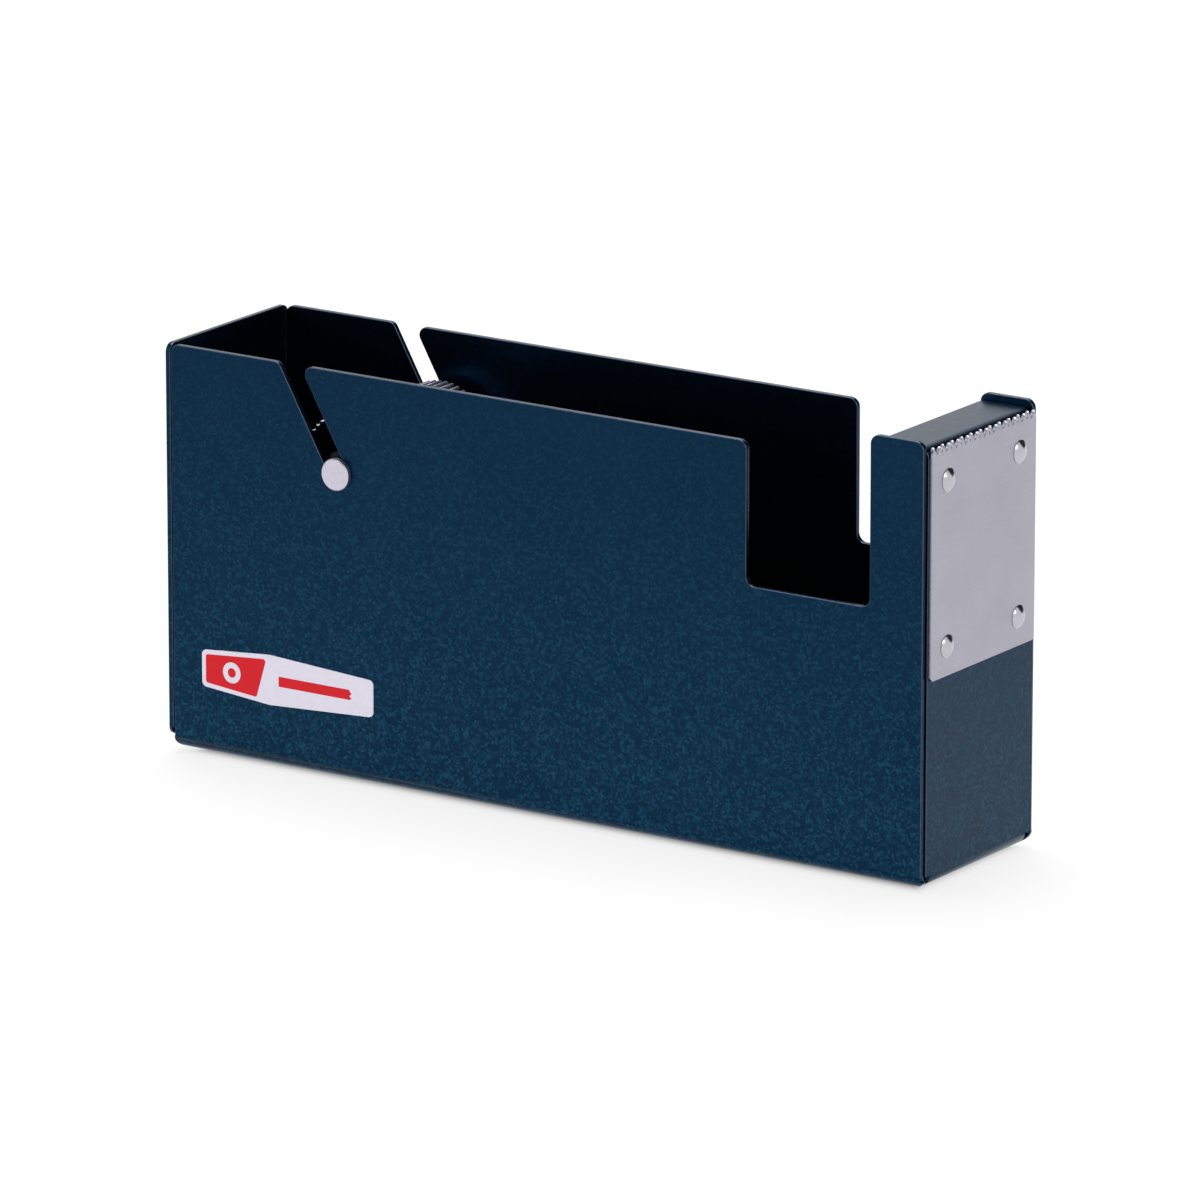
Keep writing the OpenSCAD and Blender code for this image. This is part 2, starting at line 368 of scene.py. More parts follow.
def printed_film(name, colour):
    """Screen-printed vinyl film: an even ink or white base with a soft gloss and a slight peel."""
    material, tree = new_material(name)
    place = add(tree, "ShaderNodeTexCoord").outputs["Object"]
    peel = add(
        tree, "ShaderNodeTexNoise", {"Vector": place, "Scale": 1 / (2.4 * MM), "Detail": 3}
    )
    tone = add(
        tree,
        "ShaderNodeMix",
        {
            "Factor": peel.outputs["Fac"],
            MIX_A: opaque([c * 0.94 for c in colour]),
            MIX_B: opaque([min(c * 1.04, 1) for c in colour]),
        },
        data_type="RGBA",
    )
    relief = add(
        tree,
        "ShaderNodeBump",
        {"Height": peel.outputs["Fac"], "Strength": 0.05, "Distance": 0.02 * MM},
    )
    finish_material(
        tree,
        {
            "Base Color": tone.outputs[MIXED],
            "Roughness": 0.38,
            "Normal": relief.outputs["Normal"],
            "Specular IOR Level": 0.2,
        },
    )
    return material


def moulded_rubber(s):
    """Black moulded rubber: matt, with the grain of a spark-eroded mould and a dusty bloom."""
    material, tree = new_material("moulded_rubber")
    place = add(tree, "ShaderNodeTexCoord").outputs["Object"]
    grain = add(
        tree, "ShaderNodeTexNoise", {"Vector": place, "Scale": 1 / (0.35 * MM), "Detail": 3}
    )
    bloom = add(tree, "ShaderNodeTexNoise", {"Vector": place, "Scale": 1 / (4 * MM), "Detail": 2})
    tone = add(
        tree,
        "ShaderNodeMix",
        {
            "Factor": bloom.outputs["Fac"],
            MIX_A: opaque(s.rubber),
            MIX_B: opaque([c * 2 for c in s.rubber]),
        },
        data_type="RGBA",
    )
    relief = add(
        tree,
        "ShaderNodeBump",
        {"Height": grain.outputs["Fac"], "Strength": 0.3, "Distance": 0.03 * MM},
    )
    finish_material(
        tree,
        {
            "Base Color": tone.outputs[MIXED],
            "Roughness": 0.8,
            "Normal": relief.outputs["Normal"],
            "Specular IOR Level": 0.3,
        },
    )
    return material


def dress(node, material):
    """Gives a CAD node its finish."""
    mesh = NODES[node].data
    mesh.materials.clear()
    mesh.materials.append(material)


def new_piece(name, mesh, material=None):
    """A finished piece's object, at the origin."""
    piece = bpy.data.objects.new(name, mesh)
    bpy.context.scene.collection.objects.link(piece)
    if material:
        mesh.materials.clear()
        mesh.materials.append(material)
    return piece


def settled(piece):
    """Turns a piece with modifiers into a plain mesh, and removes the modifiers."""
    graph = bpy.context.evaluated_depsgraph_get()
    mesh = bpy.data.meshes.new_from_object(piece.evaluated_get(graph))
    mesh.name = piece.name
    piece.modifiers.clear()
    piece.data = mesh
    return piece


def soften_edges(piece, width, segments, above=-1.0):
    """Rounds a piece's edges by a hair, where they reach above a height, and keeps flats flat."""
    work = bmesh.new()
    work.from_mesh(piece.data)
    weight = work.edges.layers.float.new("bevel_weight_edge")
    for edge in work.edges:
        reaches = max(vert.co.z for vert in edge.verts) > above
        edge[weight] = float(reaches and edge.calc_face_angle(0) > CREASE)
    for face in work.faces:
        face.smooth = True
    work.to_mesh(piece.data)
    work.free()
    bevel = piece.modifiers.new("edges", "BEVEL")
    bevel.width = width
    bevel.segments = segments
    bevel.limit_method = "WEIGHT"
    bevel.use_clamp_overlap = False
    # The rounding takes the piece's last material, which is its own if it has just one
    bevel.material = len(piece.data.materials) - 1
    normals = piece.modifiers.new("normals", "WEIGHTED_NORMAL")
    normals.weight = 100
    normals.keep_sharp = True
    return settled(piece)


def merged_copy(node, name, near):
    """A copy of a CAD node with points this near joined, and its triangles made whole faces."""
    source = NODES[node].data
    mesh = bpy.data.meshes.new(name)
    mesh.from_pydata([v.co for v in source.vertices], [], [p.vertices for p in source.polygons])
    work = bmesh.new()
    work.from_mesh(mesh)
    for reach, turn in ((0.002 * MM, 0.5), (near, 1.0)):
        bmesh.ops.remove_doubles(work, verts=work.verts, dist=reach)
        bmesh.ops.dissolve_degenerate(work, dist=WELD, edges=work.edges)
        bmesh.ops.dissolve_limit(
            work, angle_limit=math.radians(turn), verts=work.verts, edges=work.edges
        )
    work.to_mesh(mesh)
    work.free()
    return new_piece(name, mesh)


def grown(name, tree, values):
    """The plain mesh that a node tree makes from these inputs, as a piece."""
    piece = new_piece(name, bpy.data.meshes.new(name))
    modifier = piece.modifiers.new("tree", "NODES")
    modifier.node_group = tree
    for item in tree.interface.items_tree:
        if item.in_out == "INPUT":
            modifier[item.identifier] = values[item.name]
    return settled(piece)


def new_tree(name, sockets):
    """A geometry tree with these named inputs, its input node, and one geometry output."""
    tree = bpy.data.node_groups.new(name, "GeometryNodeTree")
    for label, kind in sockets:
        tree.interface.new_socket(label, in_out="INPUT", socket_type=f"NodeSocket{kind}")
    tree.interface.new_socket("Geometry", in_out="OUTPUT", socket_type="NodeSocketGeometry")
    return tree, add(tree, "NodeGroupInput").outputs


def close_tree(tree, geometry, material):
    """Ends a geometry tree: instances made real, then its material."""
    real = add(tree, "GeometryNodeRealizeInstances", {"Geometry": geometry})
    dressed = add(
        tree,
        "GeometryNodeSetMaterial",
        {"Geometry": real.outputs[0], "Material": material},
    )
    add(tree, "NodeGroupOutput", {"Geometry": dressed.outputs[0]})


def math_in(tree, operation, *values):
    """The result of one sum in a geometry tree."""
    return add(tree, "ShaderNodeMath", dict(enumerate(values)), operation=operation).outputs[0]


def saw_plate_tree():
    """A sheet in Y and Z with a row of saw teeth on top, set by turns to either side."""
    tree, given = new_tree(
        "saw_plate",
        [
            ("Width", "Float"),
            ("Height", "Float"),
            ("Thickness", "Float"),
            ("Teeth", "Int"),
            ("Tooth Depth", "Float"),
            ("Tooth Set", "Float"),
            ("Corner Radius", "Float"),
            ("Place", "Vector"),
            ("Material", "Material"),
        ],
    )

    def m(operation, *values):
        return math_in(tree, operation, *values)

    columns = m("MULTIPLY_ADD", given["Teeth"], 4, 1)
    grid = add(
        tree,
        "GeometryNodeMeshGrid",
        {"Size X": given["Width"], "Size Y": 2.0, "Vertices X": columns, "Vertices Y": 3},
    )
    at = add(
        tree,
        "ShaderNodeSeparateXYZ",
        {"Vector": add(tree, "GeometryNodeInputPosition").outputs[0]},
    )
    across, row = at.outputs["X"], at.outputs["Y"]
    # Each tooth runs from a root, up to its tip and down to the next root. The small sum keeps a
    # root on its own tooth.
    along = m("MULTIPLY", m("ADD", m("DIVIDE", across, given["Width"]), 0.5), given["Teeth"])
    tooth = m("FLOOR", m("ADD", along, 0.001))
    rise = m(
        "SUBTRACT", 1, m("ABSOLUTE", m("MULTIPLY_ADD", m("SUBTRACT", along, tooth), 2, -1))
    )
    turn = m("MULTIPLY_ADD", m("MODULO", tooth, 2), 2, -1)
    is_top = m("GREATER_THAN", row, 0.5)
    is_bottom = m("LESS_THAN", row, -0.5)
    root = m("SUBTRACT", given["Height"], given["Tooth Depth"])
    # The rows stand at the lower edge, just below the roots, and along the teeth
    top = m("MULTIPLY", is_top, m("MULTIPLY_ADD", rise, given["Tooth Depth"], root))
    is_middle = m("SUBTRACT", m("SUBTRACT", 1, is_top), is_bottom)
    middle = m("MULTIPLY", is_middle, m("SUBTRACT", root, 0.3 * MM))
    from_side = m("SUBTRACT", m("MULTIPLY", given["Width"], 0.5), m("ABSOLUTE", across))
    short = m("MAXIMUM", m("SUBTRACT", given["Corner Radius"], from_side), 0)
    arc = m(
        "SQRT",
        m(
            "MAXIMUM",
            m("SUBTRACT", m("POWER", given["Corner Radius"], 2), m("POWER", short, 2)),
            0,
        ),
    )
    bottom = m("MULTIPLY", is_bottom, m("SUBTRACT", given["Corner Radius"], arc))
    up = m("ADD", top, m("ADD", middle, bottom))
    out = m("MULTIPLY", m("MULTIPLY", is_top, rise), m("MULTIPLY", turn, given["Tooth Set"]))
    shaped = add(
        tree,
        "GeometryNodeSetPosition",
        {
            "Geometry": grid.outputs["Mesh"],
            "Position": add(
                tree, "ShaderNodeCombineXYZ", {"X": out, "Y": across, "Z": up}
            ).outputs[0],
        },
    )
    front = add(
        tree,
        "GeometryNodeExtrudeMesh",
        {
            "Mesh": shaped.outputs[0],
            "Offset": (1, 0, 0),
            "Offset Scale": given["Thickness"],
            "Individual": False,
        },
    )
    back = add(tree, "GeometryNodeFlipFaces", {"Mesh": shaped.outputs[0]})
    both = add(tree, "GeometryNodeJoinGeometry")
    tree.links.new(front.outputs["Mesh"], both.inputs[0])
    tree.links.new(back.outputs[0], both.inputs[0])
    whole = add(
        tree, "GeometryNodeMergeByDistance", {"Geometry": both.outputs[0], "Distance": WELD}
    )
    placed = add(
        tree,
        "GeometryNodeTransform",
        {"Geometry": whole.outputs[0], "Translation": given["Place"]},
    )
    close_tree(tree, placed.outputs[0], given["Material"])
    return tree


def rivets_tree():
    """Four domed rivets at the corners of an upright rectangle, heads towards +X."""
    tree, given = new_tree(
        "domed_rivets",
        [
            ("Head Radius", "Float"),
            ("Head Height", "Float"),
            ("Edge Height", "Float"),
            ("Tail Radius", "Float"),
            ("Tail Height", "Float"),
            ("Grip", "Float"),
            ("Span Across", "Float"),
            ("Span Up", "Float"),
            ("Place", "Vector"),
            ("Material", "Material"),
        ],
    )

    def m(operation, *values):
        return math_in(tree, operation, *values)

    head = add(
        tree,
        "GeometryNodeMeshCylinder",
        {
            "Vertices": 40,
            "Side Segments": 1,
            "Fill Segments": 10,
            "Radius": given["Head Radius"],
            "Depth": given["Edge Height"],
        },
        fill_type="TRIANGLE_FAN",
    )
    at = add(
        tree,
        "ShaderNodeSeparateXYZ",
        {"Vector": add(tree, "GeometryNodeInputPosition").outputs[0]},
    )
    from_axis_2 = m("ADD", m("POWER", at.outputs["X"], 2), m("POWER", at.outputs["Y"], 2))
    # The dome is the cap of a sphere, as high as the head less its square edge
    cap = m("SUBTRACT", given["Head Height"], given["Edge Height"])
    ball = m(
        "DIVIDE",
        m("ADD", m("POWER", given["Head Radius"], 2), m("POWER", cap, 2)),
        m("MULTIPLY", cap, 2),
    )
    drop = m("SUBTRACT", ball, m("SQRT", m("SUBTRACT", m("POWER", ball, 2), from_axis_2)))
    bulge = m(
        "MULTIPLY",
        m("GREATER_THAN", at.outputs["Z"], 0),
        m("MAXIMUM", m("SUBTRACT", cap, drop), 0),
    )
    lift = m("MULTIPLY_ADD", given["Edge Height"], 0.5, bulge)
    domed = add(
        tree,
        "GeometryNodeSetPosition",
        {
            "Geometry": head.outputs["Mesh"],
            "Offset": add(tree, "ShaderNodeCombineXYZ", {"Z": lift}).outputs[0],
        },
    )
    tail = add(
        tree,
        "GeometryNodeMeshCylinder",
        {
            "Vertices": 32,
            "Side Segments": 1,
            "Fill Segments": 1,
            "Radius": given["Tail Radius"],
            "Depth": given["Tail Height"],
        },
    )
    tail_down = m("SUBTRACT", m("MULTIPLY", given["Tail Height"], -0.5), given["Grip"])
    upset = add(
        tree,
        "GeometryNodeTransform",
        {
            "Geometry": tail.outputs["Mesh"],
            "Translation": add(tree, "ShaderNodeCombineXYZ", {"Z": tail_down}).outputs[0],
        },
    )
    rivet = add(tree, "GeometryNodeJoinGeometry")
    tree.links.new(domed.outputs[0], rivet.inputs[0])
    tree.links.new(upset.outputs[0], rivet.inputs[0])
    corners = add(
        tree,
        "GeometryNodeMeshGrid",
        {
            "Size X": given["Span Up"],
            "Size Y": given["Span Across"],
            "Vertices X": 2,
            "Vertices Y": 2,
        },
    )
    four = add(
        tree,
        "GeometryNodeInstanceOnPoints",
        {"Points": corners.outputs["Mesh"], "Instance": rivet.outputs[0]},
    )
    stood = add(
        tree,
        "GeometryNodeTransform",
        {
            "Geometry": four.outputs[0],
            "Translation": given["Place"],
            "Rotation": (0, math.pi / 2, 0),
        },
    )
    close_tree(tree, stood.outputs[0], given["Material"])
    return tree


def print_on_side(name, outline, hole, s, material):
    """A thin layer of ink on the label, from an outline in X and Z, with an optional hole."""
    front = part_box("side_label")[0].y - s.ink
    back = front + 1.2 * s.ink
    work = bmesh.new()
    if hole:
        # The outline and the hole have as many points, joined two by two
        rings = [[work.verts.new((x, y, z)) for x, z in ring] for y in (front, back)
                 for ring in (outline, hole)]
        count = len(outline)
        for i in range(count):
            j = (i + 1) % count
            for a, b in ((0, 1), (3, 2), (2, 0), (1, 3)):
                work.faces.new((rings[a][i], rings[a][j], rings[b][j], rings[b][i]))
    else:
        near = [work.verts.new((x, front, z)) for x, z in outline]
        far = [work.verts.new((x, back, z)) for x, z in outline]
        work.faces.new(near)
        work.faces.new(far[::-1])
        for i in range(len(outline)):
            j = (i + 1) % len(outline)
            work.faces.new((near[i], far[i], far[j], near[j]))
    bmesh.ops.recalc_face_normals(work, faces=work.faces)
    mesh = bpy.data.meshes.new(name)
    work.to_mesh(mesh)
    work.free()
    return new_piece(name, mesh, material)


def rounded(corners, radius, steps=6):
    """An outline's corners, rounded with short arcs."""
    points = []
    for i, corner in enumerate(corners):
        here = Vector(corner)
        before = (Vector(corners[i - 1]) - here).normalized()
        after = (Vector(corners[(i + 1) % len(corners)]) - here).normalized()
        half = before.angle(after) / 2
        centre = here + (before + after).normalized() * radius / math.sin(half)
        start = here + before * radius / math.tan(half) - centre
        end = here + after * radius / math.tan(half) - centre
        turn = start.angle_signed(end)
        for k in range(steps + 1):
            a = -turn * k / steps
            spoke = Vector(
                (
                    start.x * math.cos(a) - start.y * math.sin(a),
                    start.x * math.sin(a) + start.y * math.cos(a),
                )
            )
            points.append(tuple(centre + spoke))
    return points


class ShellSettings(bpy.types.PropertyGroup):
    paint: bpy.props.FloatVectorProperty(
        name="Paint", description="Main tone of the enamel", subtype="COLOR",
        default=linear("#112c43"), min=0, max=1,
    )
    paint_deep: bpy.props.FloatVectorProperty(
        name="Deep Paint", description="Tone of the enamel where it drifts darker", subtype="COLOR",
        default=linear("#0c273d"), min=0, max=1,
    )
    flake: bpy.props.FloatVectorProperty(
        name="Flake", description="Colour of the specks in the enamel", subtype="COLOR",
        default=linear("#245c76"), min=0, max=1,
    )
    # Greyer tone of the rounded edges, a painted highlight
    edge_highlight_tone: bpy.props.FloatVectorProperty(
        name="Thin Paint", description="Tone of the enamel along the edges", subtype="COLOR",
        default=linear("#434f62"), min=0, max=1,
    )
    flake_size: bpy.props.FloatProperty(
        name="Flake Size", description="Width of one speck", subtype="DISTANCE", unit="LENGTH",
        default=0.58 * MM, min=0.1 * MM,
    )
    edge: bpy.props.FloatProperty(
        name="Edge Radius", description="How far the paint rounds the edges of the sheet",
        subtype="DISTANCE", unit="LENGTH", default=0.16 * MM, min=0.02 * MM,
    )
    folds: bpy.props.FloatProperty(
        name="Folds", description="Height under which the edges by the corner folds stay square",
        subtype="DISTANCE", unit="LENGTH", default=6 * MM, min=0,
    )


class CutterSettings(bpy.types.PropertyGroup):
    steel: bpy.props.FloatVectorProperty(
        name="Steel", description="Tone of the cutter's steel", subtype="COLOR",
        default=linear("#a8a7b2"), min=0, max=1,
    )
    teeth: bpy.props.IntProperty(
        name="Teeth", description="Number of teeth along the cutter", default=22, min=4
    )
    tooth_depth: bpy.props.FloatProperty(
        name="Tooth Depth", description="Depth of the teeth", subtype="DISTANCE", unit="LENGTH",
        default=1.9 * MM, min=0.2 * MM,
    )
    tooth_set: bpy.props.FloatProperty(
        name="Tooth Set", description="How far the tips lean out by turns", subtype="DISTANCE",
        unit="LENGTH", default=0.22 * MM, min=0,
    )
    corner: bpy.props.FloatProperty(
        name="Corner Radius", description="Radius of the lower corners", subtype="DISTANCE",
        unit="LENGTH", default=0.8 * MM, min=0,
    )
    edge: bpy.props.FloatProperty(
        name="Edge Radius", description="How far the edges are eased", subtype="DISTANCE",
        unit="LENGTH", default=0.07 * MM, min=0.01 * MM,
    )


class RivetSettings(bpy.types.PropertyGroup):
    steel: bpy.props.FloatVectorProperty(
        name="Steel", description="Tone of the rivets", subtype="COLOR",
        default=linear("#bcbac1"), min=0, max=1,
    )
    head: bpy.props.FloatProperty(
        name="Head Diameter", description="Diameter of the domed heads", subtype="DISTANCE",
        unit="LENGTH", default=5 * MM, min=1 * MM,
    )
    edge: bpy.props.FloatProperty(
        name="Edge Height", description="Height of the square edge under each dome",
        subtype="DISTANCE", unit="LENGTH", default=0.12 * MM, min=0.01 * MM,
    )
    tail: bpy.props.FloatProperty(
        name="Tail Diameter", description="Diameter of the upset tails", subtype="DISTANCE",
        unit="LENGTH", default=4 * MM, min=1 * MM,
    )
    tail_height: bpy.props.FloatProperty(
        name="Tail Height", description="Height of the upset tails", subtype="DISTANCE",
        unit="LENGTH", default=0.8 * MM, min=0.1 * MM,
    )


class SpindleSettings(bpy.types.PropertyGroup):
    zinc: bpy.props.FloatVectorProperty(
        name="Zinc", description="Tone of the plated axle", subtype="COLOR",
        default=linear("#c9c5d2"), min=0, max=1,
    )
    rough: bpy.props.FloatProperty(
        name="Roughness", description="Roughness of the plating", default=0.34, min=0.08, max=0.9
    )


class ReelSettings(bpy.types.PropertyGroup):
    metal: bpy.props.FloatVectorProperty(
        name="Metal", description="Tone of the aluminium where it is rubbed bright",
        subtype="COLOR", default=linear("#b9b5c6"), min=0, max=1,
    )
    # Painted shade: dark tone on the sleeve and rims inside the teeth, for the shadow in the box
    painted_shade: bpy.props.FloatVectorProperty(
        name="Dark", description="Tone of the black anodising", subtype="COLOR",
        default=linear("#1c2028"), min=0, max=1,
    )
    # Width of the band at the teeth that the painted shade leaves bright
    unshaded_band: bpy.props.FloatProperty(
        name="Rubbed", description="Width of the bright band at the teeth", subtype="DISTANCE",
        unit="LENGTH", default=0.5 * MM, min=0,
    )
    rough: bpy.props.FloatProperty(
        name="Roughness", description="Roughness of the aluminium", default=0.36, min=0.08,
        max=0.9,
    )


class LabelSettings(bpy.types.PropertyGroup):
    film: bpy.props.FloatVectorProperty(
        name="Film", description="Colour of the label", subtype="COLOR",
        default=linear("#e0dbe9"), min=0, max=1,
    )
    red: bpy.props.FloatVectorProperty(
        name="Red", description="Colour of the printed field", subtype="COLOR",
        default=linear("#d3101f"), min=0, max=1,
    )
    ink: bpy.props.FloatProperty(
        name="Ink", description="Thickness of one layer of ink", subtype="DISTANCE",
        unit="LENGTH", default=0.02 * MM, min=0.005 * MM,
    )
    margin: bpy.props.FloatProperty(
        name="Margin", description="White edge round the red field", subtype="DISTANCE",
        unit="LENGTH", default=1.0 * MM, min=0.2 * MM,
    )


class FeetSettings(bpy.types.PropertyGroup):
    rubber: bpy.props.FloatVectorProperty(
        name="Rubber", description="Tone of the feet", subtype="COLOR",
        default=linear("#1c1c1e"), min=0, max=1,
    )


class StageSettings(bpy.types.PropertyGroup):
    floor: bpy.props.FloatVectorProperty(
        name="Floor", description="Colour of the floor without its own light", subtype="COLOR",
        default=linear("#6e6e6f"), min=0, max=1,
    )
    glow: bpy.props.FloatProperty(
        name="Glow", description="Light that the floor gives from below", default=0.8, min=0
    )
    aim: bpy.props.FloatVectorProperty(
        name="Aim", description="Point that the camera's framing is measured from",
        subtype="TRANSLATION", unit="LENGTH", default=(-0.9 * MM, 0.5 * MM, 46.2 * MM),
    )
    yaw: bpy.props.FloatProperty(
        name="Yaw", description="How far round from the labelled side the camera stands",
        subtype="ANGLE", unit="ROTATION", default=math.radians(34.05),
    )
    pitch: bpy.props.FloatProperty(
        name="Pitch", description="How far the camera looks down", subtype="ANGLE",
        unit="ROTATION", default=math.radians(15.39),
    )
    distance: bpy.props.FloatProperty(
        name="Distance", description="From the camera to the aim", subtype="DISTANCE",
        unit="LENGTH", default=2.2816, min=0.5,
    )
    slide: bpy.props.FloatVectorProperty(
        name="Slide", description="How far the aim lies right of and above the view's middle",
        size=2, subtype="TRANSLATION", unit="LENGTH", default=(-0.817 * MM, 3.078 * MM),
    )
    lens: bpy.props.FloatProperty(
        name="Lens", description="Focal length on a 36 mm wide sensor", subtype="DISTANCE_CAMERA",
        default=327.2, min=20,
    )


class PieceOperator:
    """What the piece operators share."""

    bl_options = {"REGISTER", "UNDO"}


class DISPENSER_OT_shell(PieceOperator, bpy.types.Operator):
    """Folded sheet with the paint rounding its edges"""

    bl_idname = "dispenser.shell"
    bl_label = "Painted Shell"

    def execute(self, context):
        s = context.scene.dispenser_shell
        piece = merged_copy("body_shell", "painted_shell", 0.1 * MM)
        piece.data.materials.append(metallic_enamel(s))
        # The rounded edges take this second material, a painted highlight
        piece.data.materials.append(edge_highlight_enamel(s))
        soften_edges(piece, s.edge, 2, s.folds)
        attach(piece, "box")
        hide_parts("body_shell")
        return {"FINISHED"}


class DISPENSER_OT_cutter(PieceOperator, bpy.types.Operator):
    """Saw-toothed plate of stainless sheet"""

    bl_idname = "dispenser.cutter"
    bl_label = "Cutter Plate"

    def execute(self, context):
        s = context.scene.dispenser_cutter
        low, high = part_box("cutter_plate")
        piece = grown(
            "saw_toothed_plate",
            saw_plate_tree(),
            {
                "Width": high.y - low.y,
                "Height": high.z - low.z,
                "Thickness": high.x - low.x,
                "Teeth": s.teeth,
                "Tooth Depth": s.tooth_depth,
                "Tooth Set": s.tooth_set,
                "Corner Radius": s.corner,
                "Place": Vector((low.x, 0, low.z)),
                "Material": rolled_stainless(s),
            },
        )
        soften_edges(piece, s.edge, 1)
        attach(piece, "box")
        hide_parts("cutter_plate")
        return {"FINISHED"}


class DISPENSER_OT_rivets(PieceOperator, bpy.types.Operator):
    """Four domed rivets that hold the cutter plate"""

    bl_idname = "dispenser.rivets"
    bl_label = "Rivets"

    def execute(self, context):
        s = context.scene.dispenser_rivets
        low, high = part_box("cutter_rivets")
        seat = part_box("cutter_plate")[1].x
        piece = grown(
            "domed_rivets",
            rivets_tree(),
            {
                "Head Radius": s.head / 2,
                "Head Height": high.x - seat,
                "Edge Height": s.edge,
                "Tail Radius": s.tail / 2,
                "Tail Height": s.tail_height,
                "Grip": seat - low.x - s.tail_height,
                "Span Across": high.y - low.y - s.head,
                "Span Up": high.z - low.z - s.head,
                "Place": Vector((seat, (low.y + high.y) / 2, (low.z + high.z) / 2)),
                "Material": polished_steel(s),
            },
        )
        piece.data.shade_smooth()
        piece.data.set_sharp_from_angle(angle=CREASE)
        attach(piece, "box")
        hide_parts("cutter_rivets")
        return {"FINISHED"}


def axle_centre():
    """The middle of the axle, which the reel turns on."""
    low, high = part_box("reel_sleeve")
    return (low + high) / 2


class DISPENSER_OT_spindle(PieceOperator, bpy.types.Operator):
    """Plated axle and its cap"""

    bl_idname = "dispenser.spindle"
    bl_label = "Spindle"

    def execute(self, context):
        s = context.scene.dispenser_spindle
        plate = turned_metal("zinc_plated_steel", s.zinc, axle_centre(), s.rough)
        for node in ("axle_pin", "axle_cap"):
            dress(node, plate)
        return {"FINISHED"}


class DISPENSER_OT_reel(PieceOperator, bpy.types.Operator):
    """Sleeve and toothed rims of the reel"""

    bl_idname = "dispenser.reel"
    bl_label = "Reel"

    def execute(self, context):
        s = context.scene.dispenser_reel
        # Aluminium under painted shade: the sleeve and the rims' webs take a dark tone for the
        # shadow inside the box, and only a band at the teeth shows bright metal
        radius = (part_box("near_rim")[1].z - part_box("near_rim")[0].z) / 2
        metal = turned_metal(
            "aluminium_with_painted_shade", s.metal, axle_centre(), s.rough, s.painted_shade, radius - s.unshaded_band
        )
        for node in ("reel_sleeve", "near_rim", "far_rim"):
            dress(node, metal)
        return {"FINISHED"}


class DISPENSER_OT_label(PieceOperator, bpy.types.Operator):
    """White film with a plain red field, a ring and a strip"""

    bl_idname = "dispenser.label"
    bl_label = "Label"

    def execute(self, context):
        s = context.scene.dispenser_label
        film = printed_film("white_vinyl", s.film)
        red = printed_film("red_ink", s.red)
        dress("side_label", film)
        low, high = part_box("side_label")
        middle = (low.z + high.z) / 2
        # The field opens towards the label's tallest place, and its front end slopes
        field_long, field_slope, field_corner = 15.8 * MM, 2.6 * MM, 0.6 * MM
        left = low.x + s.margin
        right = left + field_long
        field = rounded(
            [
                (left, middle - 3.1 * MM),
                (right - field_slope, middle - 4.3 * MM),
                (right, middle + 4.4 * MM),
                (left, middle + 3.1 * MM),
            ],
            field_corner,
        )
        ring_in_field, ring_outside, ring_inside, ring_points = 6.8 * MM, 2.3 * MM, 1.05 * MM, 40
        centre = Vector((left + ring_in_field, middle))
        turns = [k / ring_points * math.tau for k in range(ring_points)]
        wide, hole = (
            [(centre.x + r * math.cos(t), centre.y + r * math.sin(t)) for t in turns]
            for r in (ring_outside, ring_inside)
        )
        # A strip of tape with a torn end, drawn as a bar that closes in teeth
        strip_gap, strip_room, strip_half = 3.2 * MM, 6.0 * MM, 1.1 * MM
        start, end = right + strip_gap, high.x - strip_room
        strip = [(start, middle - strip_half), (end, middle - strip_half)]
        strip += [
            (end + (0.5 if k % 2 == 0 else -0.1) * MM, middle + (k - 1.5) * 0.55 * MM)
            for k in range(4)
        ]
        strip += [(end, middle + strip_half), (start, middle + strip_half)]
        prints = [
            print_on_side("label_red_field", field, None, s, red),
            print_on_side("label_red_strip", strip, None, s, red),
            print_on_side("label_white_ring", wide, hole, s, film),
        ]
        # The ring is printed over the field
        prints[-1].data.transform(Matrix.Translation((0, -s.ink, 0)))
        for piece in prints:
            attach(piece, "box")
        return {"FINISHED"}


class DISPENSER_OT_feet(PieceOperator, bpy.types.Operator):
    """Rubber feet"""

    bl_idname = "dispenser.feet"
    bl_label = "Feet"

    def execute(self, context):
        rubber = moulded_rubber(context.scene.dispenser_feet)
        for node in NODES:
            if node.startswith("foot_"):
                dress(node, rubber)
        return {"FINISHED"}


def lit_floor(s):
    """A pale floor that glows evenly, with painted shade under the box, where the glow fades out.
    """
    material, tree = new_material("glowing_floor_painted_shade")
    place = add(tree, "ShaderNodeTexCoord").outputs["Object"]
    tooth = add(tree, "ShaderNodeTexNoise", {"Vector": place, "Scale": 1 / (3 * MM), "Detail": 2})
    tone = add(
        tree,
        "ShaderNodeMix",
        {
            "Factor": tooth.outputs["Fac"],
            MIX_A: opaque([c * 0.98 for c in s.floor]),
            MIX_B: opaque(s.floor),
        },
        data_type="RGBA",
    )
    # How far a point lies outside the shell's sides, less than 0 under it
    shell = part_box("body_shell")
    out = add(tree, "ShaderNodeVectorMath", {0: place}, operation="ABSOLUTE")
    past = add(
        tree, "ShaderNodeVectorMath", {0: out.outputs[0], 1: shell[1]}, operation="SUBTRACT"
    )
    sides = add(tree, "ShaderNodeSeparateXYZ", {"Vector": past.outputs[0]})
    clear = add(
        tree,
        "ShaderNodeMath",
        {0: sides.outputs["X"], 1: sides.outputs["Y"]},
        operation="MAXIMUM",
    )
    # Painted shade under the box: the glow fades from full at 1 mm inside the shell's sides to
    # nothing at 8 mm inside
    glow = add(
        tree,
        "ShaderNodeMapRange",
        {"Value": clear.outputs[0], "From Min": -8 * MM, "From Max": -1 * MM, "To Max": s.glow},
        interpolation_type="SMOOTHSTEP",
    )
    finish_material(
        tree,
        {
            "Base Color": tone.outputs[MIXED],
            "Roughness": 0.9,
            "Specular IOR Level": 0.1,
            "Emission Color": (1.0, 0.998, 1.0, 1),
            "Emission Strength": glow.outputs["Result"],
        },
    )
    return material


